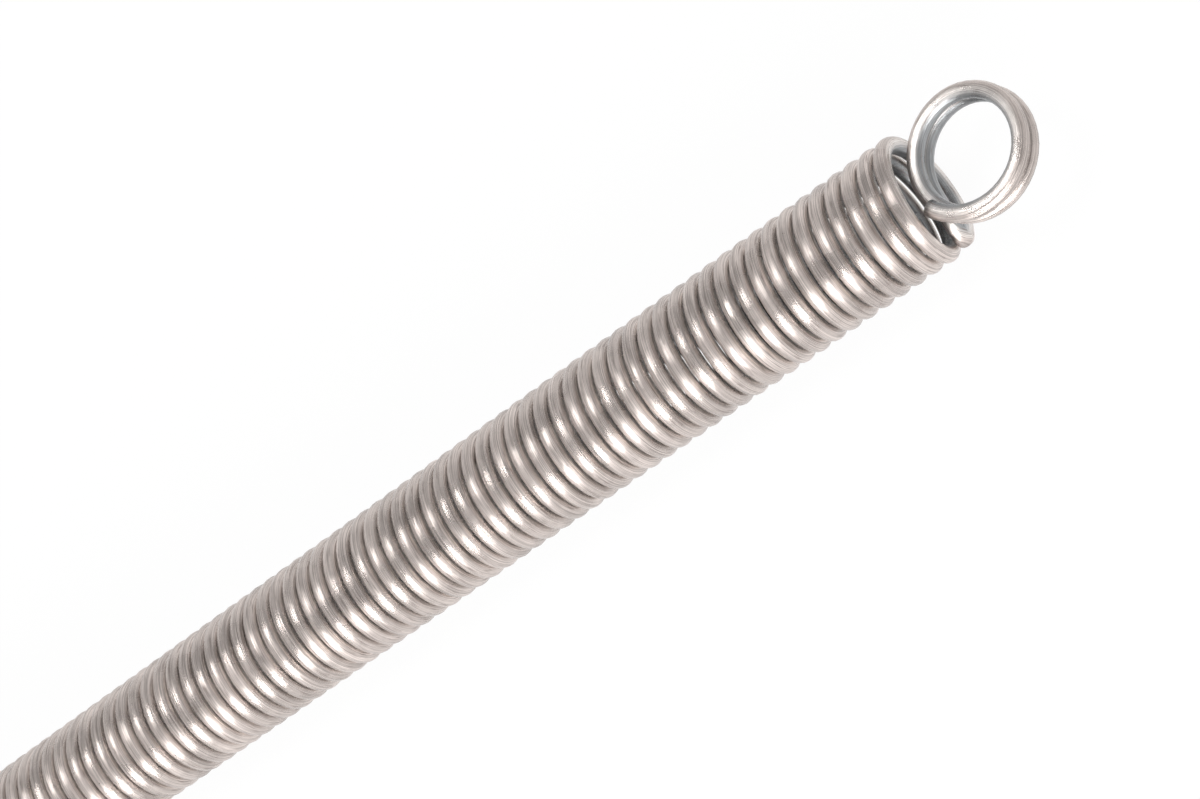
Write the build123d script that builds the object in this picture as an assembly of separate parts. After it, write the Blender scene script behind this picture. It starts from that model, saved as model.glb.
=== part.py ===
from build123d import *
from math import cos, pi, radians, sin, sqrt
import os

# A pipe bending spring: one length of round wire. The wire is coiled left-handed into a long
# straight body, leaves the last turn with a tight inward bend, and closes into a round pulling
# eye of two turns.
#
# Frame: +X runs along the coil towards the eye, and +Z is square to the eye. The spring lies on
# its side with its lowest line on Z = 0, and the middle of its length, eye included, is at X = 0.
# Angles round the coil start at the top and grow towards +Y, the way that the wire winds as it
# runs to the eye.

# Driving sizes, in millimetres and degrees
overall_length = 600.0    # from the plain end to the far side of the eye
tube_bore = 20.2          # inside of the soft tube that the spring slides into
bore_clearance = 0.4      # on the diameter, so that the spring can be pulled out
wire_dia = 2.55
turn_gap = 0.375          # clear space between neighbouring turns of the body
mouth_gap = 0.07          # the same, where the last half turn ends
mouth_start_angle = 64.0  # the last half turn begins to close up here
leave_angle = 231.3       # the wire leaves the coil's circle here
mouth_draw_in = 0.25      # how far the last half turn has drawn in by then
eye_over_coil = 0.025     # the eye's circle is this much wider in radius than the coil's
eye_turn_gap = 0.05       # the eye's two turns lie almost together
eye_stand_off = 0.57      # along X, from where the wire leaves the coil to the eye
eye_rise = 2.83           # the eye's centre above the coil's axis
eye_lean = 2.4            # the eye's far side is lifted by this angle
eye_start_angle = -4.4    # round the eye, from its side nearest the coil
eye_free_angle = 602.0    # the end of the wire springs outwards from here
eye_end_angle = 692.0
eye_spring_out = 0.6      # how far the cut end stands outside the eye's circle
bend_share_out = 0.82     # the bend's arm at the coil, as a share of the two radii's middle size
bend_share_in = 1 / 3     # and its arm at the eye, as a share of the coil's radius

# How finely the splines follow their formulas
mouth_steps = 8
free_end_steps = 4
tangent_step = 0.01       # the angle over which a spline's end direction is measured

# Sizes that follow from them
full_turn = 360
outside_dia = tube_bore - bore_clearance
wire_radius = wire_dia / 2
coil_radius = (outside_dia - wire_dia) / 2
coil_pitch = wire_dia + turn_gap
eye_mean_radius = coil_radius + eye_over_coil
bend_reach_out = bend_share_out * sqrt(wire_radius * coil_radius)
bend_reach_in = bend_share_in * coil_radius
eye_pitch = wire_dia + eye_turn_gap
eye_middle_angle = (eye_start_angle + eye_end_angle) / 2
axis_height = outside_dia / 2
far_side = overall_length / 2
plain_end = -overall_length / 2

# The eye's centre, and where the wire leaves the coil
eye_reach = eye_mean_radius * cos(radians(eye_lean)) + wire_radius
eye_centre = Vector(far_side - eye_reach, 0, axis_height + eye_rise)
leave_x = eye_centre.X - eye_mean_radius - eye_stand_off
mouth_close_up = turn_gap - mouth_gap


def coil_x(angle):
    """Place along X of the evenly wound coil at an angle round it."""
    leave_even = leave_x + mouth_close_up
    return leave_even + (angle - leave_angle) / full_turn * coil_pitch


def coil_turns():
    """The body: one helix for each turn, and a part turn at the plain end."""
    place = plain_end + wire_radius
    run = coil_x(mouth_start_angle) - place
    whole_turns = int(run / coil_pitch)
    part_turn = run - whole_turns * coil_pitch
    edges = []
    for length in [part_turn] + [coil_pitch] * whole_turns:
        turns_to_mouth = (coil_x(mouth_start_angle) - place) / coil_pitch
        angle = mouth_start_angle - turns_to_mouth * full_turn
        turn = Helix(coil_pitch, length, coil_radius, direction=(1, 0, 0), lefthand=True)
        edges.append(Pos(place, 0, axis_height) * Rot(X=-angle) * turn)
        place += length
    return edges


def mouth_point(angle):
    """A point of the last half turn, which closes up and draws in smoothly."""
    share = (angle - mouth_start_angle) / (leave_angle - mouth_start_angle)
    radius = coil_radius - mouth_draw_in * share**2
    x = coil_x(angle) - mouth_close_up * share**2
    y = radius * sin(radians(angle))
    z = radius * cos(radians(angle))
    return Vector(x, y, axis_height + z)


def eye_height(angle):
    """Height of the eye's wire over the eye's middle, square to the eye."""
    return (angle - eye_middle_angle) / full_turn * eye_pitch


def eye_point(angle):
    """A point of the eye, whose end springs outwards past eye_free_angle."""
    free_share = max(0, (angle - eye_free_angle) / (eye_end_angle - eye_free_angle))
    radius = eye_mean_radius + eye_spring_out * free_share**2
    x = -radius * cos(radians(angle))
    y = radius * sin(radians(angle))
    return Vector(x, y, eye_height(angle)).rotate(Axis.Y, -eye_lean) + eye_centre


def smooth_curve(point, start, end, steps):
    """A spline through evenly spaced points of a path, true at both ends."""
    angles = [start + (end - start) * i / steps for i in range(steps + 1)]
    first_way = point(start + tangent_step) - point(start)
    last_way = point(end) - point(end - tangent_step)
    return Spline(*[point(angle) for angle in angles], tangents=(first_way, last_way))


def eye_turns():
    """The round of the eye: one helix for each turn and for what is left."""
    run = eye_free_angle - eye_start_angle
    whole_turns = int(run / full_turn)
    left_over = run - whole_turns * full_turn
    edges = []
    angle = eye_start_angle
    for span in [full_turn] * whole_turns + [left_over]:
        turn = Helix(eye_pitch, eye_pitch * span / full_turn, eye_mean_radius, lefthand=True)
        turn = Pos(0, 0, eye_height(angle)) * Rot(Z=full_turn / 2 - angle) * turn
        edges.append(Pos(*eye_centre) * Rot(Y=-eye_lean) * turn)
        angle += span
    return edges


def inward_bend(coil_end, eye_begin):
    """The bend from the coil's circle into the eye, in line with both."""
    arm_out = coil_end @ 1 + (coil_end % 1) * bend_reach_out
    arm_in = eye_begin @ 0 - (eye_begin % 0) * bend_reach_in
    return Bezier(coil_end @ 1, arm_out, arm_in, eye_begin @ 0)


coil = coil_turns()
mouth = smooth_curve(mouth_point, mouth_start_angle, leave_angle, mouth_steps)
eye = eye_turns()
bend = inward_bend(mouth, eye[0])
free_end = smooth_curve(eye_point, eye_free_angle, eye_end_angle, free_end_steps)

# The solid wire along the whole route, from the plain end to the eye's cut end
route = Wire(coil + [mouth, bend] + eye + [free_end])
section = Plane(origin=route @ 0, z_dir=route % 0) * Circle(wire_radius)
spring = sweep(section, path=route)

section_by_length = pi * wire_radius**2 * route.length
turns_before_eye = (leave_x - plain_end - wire_radius + mouth_close_up) / coil_pitch
print(f"wire length {route.length:.1f} mm, {turns_before_eye:.1f} turns before the eye")
print(f"volume {spring.volume:.1f} mm3, section times length {section_by_length:.1f} mm3")

os.makedirs("parts", exist_ok=True)
export_step(spring, "parts/pipe_bending_spring.step")
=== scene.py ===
"""The looks of a pipe bending spring: one bright plated wire on a pale floor.

The wire's centre line is worked out from the same sizes as the solid one. It
runs up a left-hand coil, closes up its last half turn, bends inwards and goes
twice round the pulling eye. A round section is carried along it, and one
procedural metal finish dresses it.
"""
import logging
import math
from dataclasses import dataclass
from enum import Enum

import bpy
import numpy as np
from mathutils import Matrix, Vector


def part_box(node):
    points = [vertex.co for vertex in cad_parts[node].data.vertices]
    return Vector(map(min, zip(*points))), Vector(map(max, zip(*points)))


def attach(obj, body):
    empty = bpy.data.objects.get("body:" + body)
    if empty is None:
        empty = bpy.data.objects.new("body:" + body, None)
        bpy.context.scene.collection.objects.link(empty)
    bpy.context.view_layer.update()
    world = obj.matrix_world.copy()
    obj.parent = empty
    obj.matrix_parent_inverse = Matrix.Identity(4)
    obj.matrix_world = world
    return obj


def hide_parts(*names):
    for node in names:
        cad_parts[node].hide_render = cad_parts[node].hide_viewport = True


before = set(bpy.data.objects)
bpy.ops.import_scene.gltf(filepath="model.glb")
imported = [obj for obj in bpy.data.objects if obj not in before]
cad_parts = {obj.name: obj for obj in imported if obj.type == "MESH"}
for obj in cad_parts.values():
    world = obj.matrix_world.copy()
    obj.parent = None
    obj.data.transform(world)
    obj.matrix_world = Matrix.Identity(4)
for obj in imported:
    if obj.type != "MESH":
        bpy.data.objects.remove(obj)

log = logging.getLogger("pipe_bending_spring")

NODE = "pipe_bending_spring"
BODY = "root"
UV_MAP = "along_and_round"
MM = 0.001
OVERALL_LENGTH = 600.0 * MM


class Winding(Enum):
    """Which way a helix turns as it runs towards the eye."""

    LEFT_HAND = 1.0
    RIGHT_HAND = -1.0


@dataclass
class SpringWire:
    """The wire of the spring: its sizes in metres and degrees, its line and its mesh."""

    plain_end: float
    far_side: float
    axis_height: float
    wire_radius: float = 1.275 * MM
    coil_radius: float = 8.625 * MM
    coil_pitch: float = 2.925 * MM
    mouth_close_up: float = 0.305 * MM
    mouth_draw_in: float = 0.25 * MM
    mouth_start_angle: float = 64.0
    leave_angle: float = 231.3
    eye_mean_radius: float = 8.65 * MM
    eye_pitch: float = 2.6 * MM
    eye_stand_off: float = 0.57 * MM
    eye_rise: float = 2.83 * MM
    eye_lean: float = 2.4
    eye_start_angle: float = -4.4
    eye_free_angle: float = 602.0
    eye_end_angle: float = 692.0
    eye_spring_out: float = 0.6 * MM
    bend_reach_out: float = 2.72 * MM
    bend_reach_in: float = 2.875 * MM
    bend_steps: int = 120
    sides: int = 16
    fine_step: float = 1.25 * MM
    coarse_step: float = 2.3 * MM
    fine_length: float = 0.195
    winding: Winding = Winding.LEFT_HAND

    @property
    def eye_centre(self) -> np.ndarray:
        """The middle of the eye."""
        reach = self.eye_mean_radius * math.cos(math.radians(self.eye_lean)) + self.wire_radius
        return np.array([self.far_side - reach, 0.0, self.axis_height + self.eye_rise])

    @property
    def even_leave_x(self) -> float:
        """Where the evenly wound coil would be at the angle where the wire leaves it."""
        return self.eye_centre[0] - self.eye_mean_radius - self.eye_stand_off + self.mouth_close_up

    def coil_line(self, angles: np.ndarray) -> tuple[np.ndarray, np.ndarray]:
        """The coil, with its last half turn closed up and drawn in.

        The point at an angle a is (x, r sin a, r cos a) about the coil's axis,
        where x grows by one pitch a turn. Past the mouth's start both x and r
        fall behind by the square of the share of the half turn that is done.

        Args:
            angles: degrees from the top, growing towards +Y and the eye.

        Returns:
            The points, and the unit vectors from the axis out to them.
        """
        share = (angles - self.mouth_start_angle) / (self.leave_angle - self.mouth_start_angle)
        share = np.clip(share, 0.0, 1.0) ** 2
        radius = self.coil_radius - self.mouth_draw_in * share
        x = self.even_leave_x + (angles - self.leave_angle) / 360.0 * self.coil_pitch
        x = x - self.mouth_close_up * share
        a = np.radians(angles) * self.winding.value
        out = np.stack([np.zeros_like(a), np.sin(a), np.cos(a)], axis=1)
        points = radius[:, None] * out
        points[:, 0] = x
        points[:, 2] += self.axis_height
        return points, out

    def eye_line(self, angles: np.ndarray) -> tuple[np.ndarray, np.ndarray]:
        """The eye: a flat helix of two turns, with its free end sprung outwards.

        Args:
            angles: degrees round the eye, from its side nearest the coil.

        Returns:
            The points, and the unit vectors from the eye's middle out to them.
        """
        free = (angles - self.eye_free_angle) / (self.eye_end_angle - self.eye_free_angle)
        free = np.clip(free, 0.0, 1.0)
        radius = self.eye_mean_radius + self.eye_spring_out * free**2
        a = np.radians(angles)
        turns = (angles - (self.eye_start_angle + self.eye_end_angle) / 2) / 360.0
        out = np.stack([-np.cos(a), np.sin(a) * self.winding.value, np.zeros_like(a)], axis=1)
        points = radius[:, None] * out
        points[:, 2] = turns * self.eye_pitch
        lean = math.radians(self.eye_lean)
        tilt = np.array(
            [[math.cos(lean), 0.0, -math.sin(lean)], [0.0, 1.0, 0.0], [math.sin(lean), 0.0, math.cos(lean)]]
        )
        return points @ tilt.T + self.eye_centre, out @ tilt.T

    def bend_line(self, coil_end: np.ndarray, eye_begin: np.ndarray, steps: int) -> np.ndarray:
        """The inward bend: a cubic curve in line with the coil and with the eye.

        Args:
            coil_end: the last two points of the coil.
            eye_begin: the first two points of the eye.
            steps: how many points to give.

        Returns:
            The points of the curve, both ends included.
        """
        leave = coil_end[1] - coil_end[0]
        enter = eye_begin[1] - eye_begin[0]
        first = coil_end[1]
        last = eye_begin[0]
        arm_out = first + leave / np.linalg.norm(leave) * self.bend_reach_out
        arm_in = last - enter / np.linalg.norm(enter) * self.bend_reach_in
        u = np.linspace(0.0, 1.0, steps)[:, None]
        v = 1.0 - u
        return v**3 * first + 3 * v**2 * u * arm_out + 3 * v * u**2 * arm_in + u**3 * last

    def centre_line(self) -> tuple[np.ndarray, np.ndarray, np.ndarray]:
        """The whole wire, from the plain end to the cut end of the eye.

        The line is worked out finely, and then points are taken from it by
        length: close together near the eye and further apart behind.

        Returns:
            The points, the outward vectors and the length along the wire.
        """
        start_x = self.plain_end + self.wire_radius
        start_angle = self.leave_angle + (start_x - self.even_leave_x) / self.coil_pitch * 360.0
        coil_angles = np.append(np.arange(start_angle, self.leave_angle), self.leave_angle)
        eye_angles = np.append(np.arange(self.eye_start_angle, self.eye_end_angle), self.eye_end_angle)
        coil, coil_out = self.coil_line(coil_angles)
        eye, eye_out = self.eye_line(eye_angles)
        bend = self.bend_line(coil[-2:], eye[:2], self.bend_steps)
        share = np.linspace(0.0, 1.0, len(bend))[:, None]
        bend_out = coil_out[-1] * (1.0 - share) + eye_out[0] * share
        points = np.concatenate([coil, bend[1:-1], eye])
        outs = np.concatenate([coil_out, bend_out[1:-1], eye_out])
        lengths = np.concatenate([[0.0], np.cumsum(np.linalg.norm(np.diff(points, axis=0), axis=1))])
        turn = 2 * math.pi * self.coil_radius
        fine_run = self.fine_length / self.coil_pitch * turn
        fine_start = lengths[-1] - fine_run
        coarse = np.linspace(0.0, fine_start, int(fine_start / self.coarse_step), endpoint=False)
        fine = np.linspace(fine_start, lengths[-1], int(fine_run / self.fine_step))
        stations = np.concatenate([coarse, fine])
        line = np.stack([np.interp(stations, lengths, points[:, k]) for k in range(3)], axis=1)
        out = np.stack([np.interp(stations, lengths, outs[:, k]) for k in range(3)], axis=1)
        return line, out, stations

    def sections(self, line: np.ndarray, out: np.ndarray) -> np.ndarray:
        """The rings of the round section along the line.

        Each ring lies square to the line. Its point at an angle b is the centre
        plus the radius times (cos b outwards + sin b sideways).

        Args:
            line: the centre line's points.
            out: the outward vector at each.

        Returns:
            An array of rings by sides by three.
        """
        along = np.gradient(line, axis=0)
        along /= np.linalg.norm(along, axis=1)[:, None]
        outward = out - (out * along).sum(axis=1)[:, None] * along
        outward /= np.linalg.norm(outward, axis=1)[:, None]
        side = np.cross(along, outward)
        b = np.linspace(0.0, 2 * math.pi, self.sides, endpoint=False)
        ring = np.cos(b)[None, :, None] * outward[:, None, :] + np.sin(b)[None, :, None] * side[:, None, :]
        return line[:, None, :] + self.wire_radius * ring

    def build(self) -> bpy.types.Object:
        """Makes the wire's mesh, closed at both ends, with its length and its round as a UV map.

        Returns:
            The new object, in place of the solid wire.
        """
        line, out, stations = self.centre_line()
        rings = self.sections(line, out)
        count, sides = rings.shape[:2]
        i = np.arange(count - 1)[:, None]
        j = np.arange(sides)[None, :]
        k = (j + 1) % sides
        walls = np.stack([i * sides + j, (i + 1) * sides + j, (i + 1) * sides + k, i * sides + k], axis=2)
        walls = walls[:, :, ::-1].reshape(-1, 4)
        first_cap = np.arange(sides)
        last_cap = (count - 1) * sides + np.arange(sides)[::-1]
        mesh = bpy.data.meshes.new("spring_wire")
        faces = [*walls.tolist(), first_cap[::-1].tolist(), last_cap[::-1].tolist()]
        mesh.from_pydata(rings.reshape(-1, 3).tolist(), [], faces)
        u_low = np.broadcast_to(stations[:-1, None], (count - 1, sides))
        u_high = np.broadcast_to(stations[1:, None], (count - 1, sides))
        v_low = np.broadcast_to(j / sides, (count - 1, sides))
        v_high = np.broadcast_to((j + 1) / sides, (count - 1, sides))
        pairs = ((u_low, v_low), (u_high, v_low), (u_high, v_high), (u_low, v_high))
        corners = [np.stack(pair, axis=2) for pair in pairs]
        wall_uv = np.stack(corners, axis=2)[:, :, ::-1].reshape(-1, 2)
        cap_uv = np.full((2 * sides, 2), 0.5)
        layer = mesh.uv_layers.new(name=UV_MAP)
        layer.data.foreach_set("uv", np.concatenate([wall_uv, cap_uv]).astype(np.float32).ravel())
        mesh.polygons.foreach_set("use_smooth", np.append(np.ones(len(walls), bool), [False, False]))
        mesh.update()
        mesh.validate()
        wire = bpy.data.objects.new("spring_wire", mesh)
        bpy.context.collection.objects.link(wire)
        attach(wire, BODY)
        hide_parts(NODE)
        log.info("spring_wire: %d rings, %d faces, %.2f m of wire", count, len(mesh.polygons), stations[-1])
        return wire


class Graph:
    """A material's node tree, with short ways to add the nodes that the finish needs."""

    def __init__(self, tree: bpy.types.NodeTree) -> None:
        """Takes the tree to add to."""
        self.tree = tree

    def node(self, kind: str, **values) -> bpy.types.Node:
        """A new node of a kind, with its properties set."""
        made = self.tree.nodes.new(kind)
        for key, value in values.items():
            setattr(made, key, value)
        return made

    def feed(self, socket: bpy.types.NodeSocket, value) -> None:
        """Links a socket to another, or sets its plain value."""
        if isinstance(value, bpy.types.NodeSocket):
            self.tree.links.new(value, socket)
        else:
            socket.default_value = value

    def math(self, operation: str, *values) -> bpy.types.NodeSocket:
        """The result of a sum on one or two numbers or sockets."""
        made = self.node("ShaderNodeMath", operation=operation)
        for socket, value in zip(made.inputs, values):
            self.feed(socket, value)
        return made.outputs[0]

    def noise(self, place: bpy.types.NodeSocket, scale: float, detail: float) -> bpy.types.NodeSocket:
        """A noise pattern over a vector."""
        made = self.node("ShaderNodeTexNoise")
        self.feed(made.inputs["Vector"], place)
        self.feed(made.inputs["Scale"], scale)
        self.feed(made.inputs["Detail"], detail)
        return made.outputs["Fac"]

    def spread(
        self, value: bpy.types.NodeSocket, seen: tuple, given: tuple = (0.0, 1.0)
    ) -> bpy.types.NodeSocket:
        """A value taken from one range to another.

        Args:
            value: the socket to read.
            seen: the range that is read, from low to high.
            given: the range that is given out.

        Returns:
            The socket that carries the new value.
        """
        made = self.node("ShaderNodeMapRange")
        self.feed(made.inputs["Value"], value)
        self.feed(made.inputs["From Min"], seen[0])
        self.feed(made.inputs["From Max"], seen[1])
        self.feed(made.inputs["To Min"], given[0])
        self.feed(made.inputs["To Max"], given[1])
        return made.outputs["Result"]

    def blend(self, share: bpy.types.NodeSocket, first, second) -> bpy.types.NodeSocket:
        """A colour between two, the first where the share is nought."""
        made = self.node("ShaderNodeMix", data_type="RGBA")
        self.feed(made.inputs["Factor"], share)
        for socket, value in zip([i for i in made.inputs if i.type == "RGBA"], (first, second)):
            self.feed(socket, value)
        return [o for o in made.outputs if o.type == "RGBA"][0]


@dataclass(frozen=True)
class PlatedWire:
    """Bright plated steel wire: drawn lines and dull streaks along it, and broad mottling, with painted
    shade inside the coil and painted sheen on the flanks.
    """

    name: str = "plated_wire"
    outer_colour: tuple = (0.63, 0.56, 0.525, 1.0)
    # the side and inner colours are painted sheen on the wire's flanks and painted shade on its inner face,
    # not the plating's own colour
    painted_sheen_side_colour: tuple = (0.88, 0.82, 0.78, 1.0)
    painted_shade_inner_colour: tuple = (0.40, 0.41, 0.42, 1.0)
    streak_colour: tuple = (0.30, 0.25, 0.23, 1.0)
    metal_share: float = 0.88
    # the ranges of facing over which the painted shade and the painted sheen fade
    painted_shade_inner_range: tuple = (-0.8, -0.1)
    painted_sheen_fade_range: tuple = (0.05, 0.55)
    line_length: float = 60.0
    lines_round: float = 17.0
    line_detail: float = 4.0
    line_range: tuple = (0.38, 0.62)
    line_shade: tuple = (0.62, 1.24)
    patch_scale: float = 180.0
    patch_detail: float = 3.0
    patch_range: tuple = (0.35, 0.65)
    patch_shade: tuple = (0.82, 1.08)
    streak_scale: float = 4.5
    streak_detail: float = 3.0
    streak_range: tuple = (0.56, 0.74)
    rough_range: tuple = (0.3, 0.7)
    roughness: tuple = (0.21, 0.37)
    relief_strength: float = 0.65
    relief_height: float = 0.08 * MM

    def round_place(self, graph: Graph) -> tuple[bpy.types.NodeSocket, bpy.types.NodeSocket]:
        """Where a point lies on the wire, without a seam round it.

        Args:
            graph: the tree to add to.

        Returns:
            A vector of the length along and the place round, and how far the
            point faces out from the coil, from -1 to 1.
        """
        uv = graph.node("ShaderNodeUVMap", uv_map=UV_MAP)
        split = graph.node("ShaderNodeSeparateXYZ")
        graph.feed(split.inputs[0], uv.outputs["UV"])
        turn = graph.math("MULTIPLY", split.outputs["Y"], 2 * math.pi)
        outward = graph.math("COSINE", turn)
        drawn = graph.node("ShaderNodeCombineXYZ")
        graph.feed(drawn.inputs[0], graph.math("MULTIPLY", split.outputs["X"], self.line_length))
        graph.feed(drawn.inputs[1], outward)
        graph.feed(drawn.inputs[2], graph.math("SINE", turn))
        return drawn.outputs[0], outward

    def colour(self, graph: Graph, outward, tone, streaks) -> bpy.types.NodeSocket:
        """Cool painted shade on the face towards the coil's inside, bright painted sheen on the flanks and
        warm outside, toned and streaked.

        Args:
            graph: the tree to add to.
            outward: how far the point faces out from the coil.
            tone: the brightness of the lines and patches.
            streaks: where the dull streaks lie.

        Returns:
            The socket that carries the colour.
        """
        # painted shade on the face towards the coil's inside, fading into painted sheen on the flanks, then
        # into the wire's own colour outside
        painted_shade_and_sheen = graph.blend(
            graph.spread(outward, self.painted_shade_inner_range), self.painted_shade_inner_colour, self.painted_sheen_side_colour
        )
        tint = graph.blend(graph.spread(outward, self.painted_sheen_fade_range), painted_shade_and_sheen, self.outer_colour)
        toned = graph.node("ShaderNodeVectorMath", operation="SCALE")
        graph.feed(toned.inputs[0], tint)
        graph.feed(toned.inputs["Scale"], tone)
        return graph.blend(streaks, toned.outputs[0], self.streak_colour)

    def material(self) -> bpy.types.Material:
        """Builds the finish from the wire's own UV map and its place.

        Returns:
            The node-based material.
        """
        material = bpy.data.materials.new(self.name)
        material.use_nodes = True
        graph = Graph(material.node_tree)
        shader = material.node_tree.nodes["Principled BSDF"]
        drawn, outward = self.round_place(graph)
        finer = graph.node("ShaderNodeVectorMath", operation="MULTIPLY")
        graph.feed(finer.inputs[0], drawn)
        graph.feed(finer.inputs[1], (1.0, self.lines_round, self.lines_round))
        lines = graph.noise(finer.outputs[0], 1.0, self.line_detail)
        place = graph.node("ShaderNodeTexCoord")
        patches = graph.noise(place.outputs["Object"], self.patch_scale, self.patch_detail)
        streaks = graph.noise(drawn, self.streak_scale, self.streak_detail)
        shade = graph.spread(lines, self.line_range, self.line_shade)
        mottle = graph.spread(patches, self.patch_range, self.patch_shade)
        tone = graph.math("MULTIPLY", shade, mottle)
        streaks = graph.spread(streaks, self.streak_range)
        bump = graph.node("ShaderNodeBump")
        graph.feed(bump.inputs["Strength"], self.relief_strength)
        graph.feed(bump.inputs["Distance"], self.relief_height)
        graph.feed(bump.inputs["Height"], graph.math("ADD", lines, patches))
        graph.feed(shader.inputs["Metallic"], self.metal_share)
        graph.feed(shader.inputs["Base Color"], self.colour(graph, outward, tone, streaks))
        graph.feed(shader.inputs["Roughness"], graph.spread(patches, self.rough_range, self.roughness))
        graph.feed(shader.inputs["Normal"], bump.outputs[0])
        return material


@dataclass(frozen=True)
class SoftLamp:
    """A soft rectangular lamp: its place and size in metres, and its power in watts."""

    name: str
    place: tuple
    aim: tuple
    size: tuple
    watts: float

    def build(self) -> None:
        """Adds the lamp to the scene."""
        data = bpy.data.lights.new(self.name, "AREA")
        data.shape = "RECTANGLE"
        data.size, data.size_y = self.size
        data.energy = self.watts
        lamp = bpy.data.objects.new(self.name, data)
        lamp.location = self.place
        towards = Vector(self.aim) - Vector(self.place)
        lamp.rotation_euler = towards.to_track_quat("-Z", "Y").to_euler()
        bpy.context.collection.objects.link(lamp)


LIT_MIDDLE = (0.1, 0.0, 0.01)
LAMPS = (
    SoftLamp("side_softbox", (0.1, -1.05, 0.42), LIT_MIDDLE, (0.9, 0.60), 13.5),
    SoftLamp("overhead_strip", (0.1, 0.12, 1.2), LIT_MIDDLE, (0.45, 0.46), 5.4),
)


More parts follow.
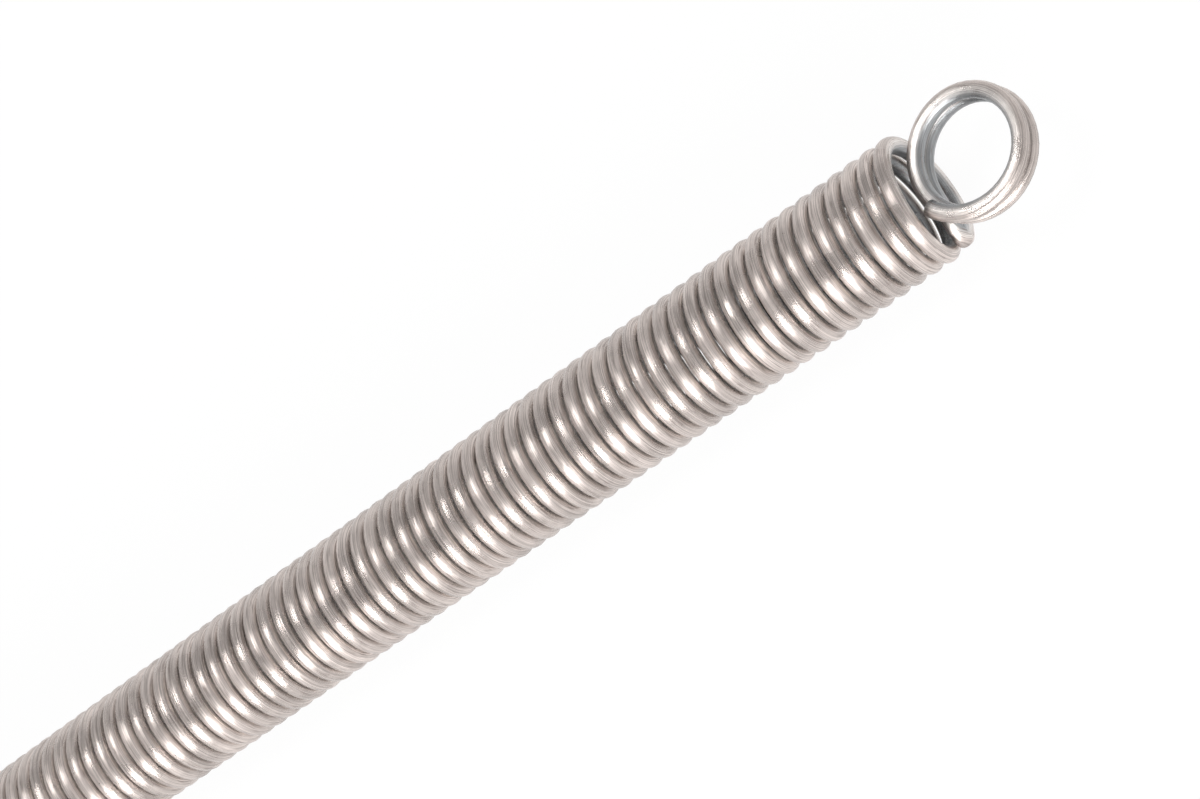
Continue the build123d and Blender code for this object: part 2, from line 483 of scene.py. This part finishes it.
@dataclass
class Studio:
    """A pale floor, a white surround that dims towards the ceiling, soft lamps and the camera."""

    floor_reach: float = 3.0
    fill_strength: float = 0.75
    ceiling_strength: float = 0.50
    white_share: float = 0.95
    floor_grey: float = 0.8
    floor_roughness: float = 0.9
    dims_from: float = 0.05
    dims_until: float = 0.45
    camera_place: tuple = (0.41918, -0.18314, 0.39285)
    camera_forward: tuple = (-0.42262, 0.39656, -0.81494)
    camera_up: tuple = (0.52261, 0.84127, 0.13835)
    sensor_width: float = 36.0
    lens: float = 95.26
    clip_start: float = 0.01

    def rays(self, tree: bpy.types.NodeTree, *kinds: str) -> bpy.types.NodeSocket:
        """One where a ray is of any of the kinds, and nought elsewhere.

        Args:
            tree: the node tree to add to.
            kinds: output names of the Light Path node.

        Returns:
            The socket that carries the answer.
        """
        path = tree.nodes.new("ShaderNodeLightPath")
        found = path.outputs[kinds[0]]
        for kind in kinds[1:]:
            either = tree.nodes.new("ShaderNodeMath")
            either.operation = "MAXIMUM"
            tree.links.new(found, either.inputs[0])
            tree.links.new(path.outputs[kind], either.inputs[1])
            found = either.outputs[0]
        return found

    def floor(self) -> None:
        """A wide pale floor under the spring, which keeps its shadow."""
        reach = self.floor_reach
        mesh = bpy.data.meshes.new("floor")
        corners = [(-reach, -reach, 0), (reach, -reach, 0), (reach, reach, 0), (-reach, reach, 0)]
        mesh.from_pydata(corners, [], [(0, 1, 2, 3)])
        floor = bpy.data.objects.new("floor", mesh)
        bpy.context.collection.objects.link(floor)
        material = bpy.data.materials.new("pale_floor")
        material.use_nodes = True
        tree = material.node_tree
        shader = tree.nodes["Principled BSDF"]
        shader.inputs["Base Color"].default_value = (*[self.floor_grey] * 3, 1.0)
        shader.inputs["Roughness"].default_value = self.floor_roughness
        glow = tree.nodes.new("ShaderNodeEmission")
        glow.inputs["Strength"].default_value = 1.0
        share = tree.nodes.new("ShaderNodeMath")
        share.operation = "MULTIPLY"
        share.inputs[1].default_value = self.white_share
        mix = tree.nodes.new("ShaderNodeMixShader")
        seen = self.rays(tree, "Is Camera Ray", "Is Glossy Ray", "Is Transmission Ray")
        tree.links.new(seen, share.inputs[0])
        tree.links.new(share.outputs[0], mix.inputs[0])
        tree.links.new(shader.outputs[0], mix.inputs[1])
        tree.links.new(glow.outputs[0], mix.inputs[2])
        tree.links.new(mix.outputs[0], tree.nodes["Material Output"].inputs["Surface"])
        mesh.materials.append(material)

    def surround(self) -> None:
        """A white background; metal sees it white at the horizon and dimmer overhead."""
        world = bpy.data.worlds.new("studio")
        bpy.context.scene.world = world
        world.use_nodes = True
        tree = world.node_tree
        background = tree.nodes["Background"]
        background.inputs["Color"].default_value = (1.0, 1.0, 1.0, 1.0)
        direction = tree.nodes.new("ShaderNodeTexCoord")
        height = tree.nodes.new("ShaderNodeSeparateXYZ")
        tree.links.new(direction.outputs["Generated"], height.inputs[0])
        ceiling = tree.nodes.new("ShaderNodeMapRange")
        ceiling.interpolation_type = "SMOOTHSTEP"
        ceiling.inputs["From Min"].default_value = self.dims_from
        ceiling.inputs["From Max"].default_value = self.dims_until
        ceiling.inputs["To Min"].default_value = 1.0
        ceiling.inputs["To Max"].default_value = self.ceiling_strength
        tree.links.new(height.outputs["Z"], ceiling.inputs["Value"])
        mirrored = tree.nodes.new("ShaderNodeMix")
        mirrored.inputs["A"].default_value = self.fill_strength
        tree.links.new(self.rays(tree, "Is Glossy Ray"), mirrored.inputs["Factor"])
        tree.links.new(ceiling.outputs[0], mirrored.inputs["B"])
        strength = tree.nodes.new("ShaderNodeMix")
        strength.inputs["B"].default_value = 1.0
        tree.links.new(self.rays(tree, "Is Camera Ray", "Is Transmission Ray"), strength.inputs["Factor"])
        tree.links.new(mirrored.outputs["Result"], strength.inputs["A"])
        tree.links.new(strength.outputs["Result"], background.inputs["Strength"])

    def camera(self) -> None:
        """The camera, above and beyond the eye, rolled so that the spring climbs to the right."""
        forward = Vector(self.camera_forward).normalized()
        right = forward.cross(Vector(self.camera_up)).normalized()
        up = right.cross(forward)
        data = bpy.data.cameras.new("camera")
        data.sensor_width = self.sensor_width
        data.lens = self.lens
        data.clip_start = self.clip_start
        camera = bpy.data.objects.new("camera", data)
        turned = Matrix((right, up, -forward)).transposed()
        camera.matrix_world = Matrix.Translation(self.camera_place) @ turned.to_4x4()
        bpy.context.collection.objects.link(camera)
        bpy.context.scene.camera = camera

    def set_up(self) -> None:
        """Makes the whole studio."""
        bpy.context.scene.view_settings.view_transform = "Standard"
        self.floor()
        self.surround()
        for lamp in LAMPS:
            lamp.build()
        self.camera()


def main() -> None:
    """Builds the spring and its studio."""
    logging.basicConfig(level=logging.INFO)
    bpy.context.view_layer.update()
    node_low, node_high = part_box(NODE)
    wire_radius = SpringWire.wire_radius
    coil_height = 2 * (SpringWire.coil_radius + wire_radius)
    spring = SpringWire(
        plain_end=node_low[0],
        far_side=node_low[0] + OVERALL_LENGTH,
        axis_height=node_low[2] + coil_height / 2,
    )
    wire = spring.build()
    wire.data.materials.append(PlatedWire().material())
    log.info("plated_wire: dressed %s", wire.name)
    Studio().set_up()


if __name__ == "__main__":
    main()
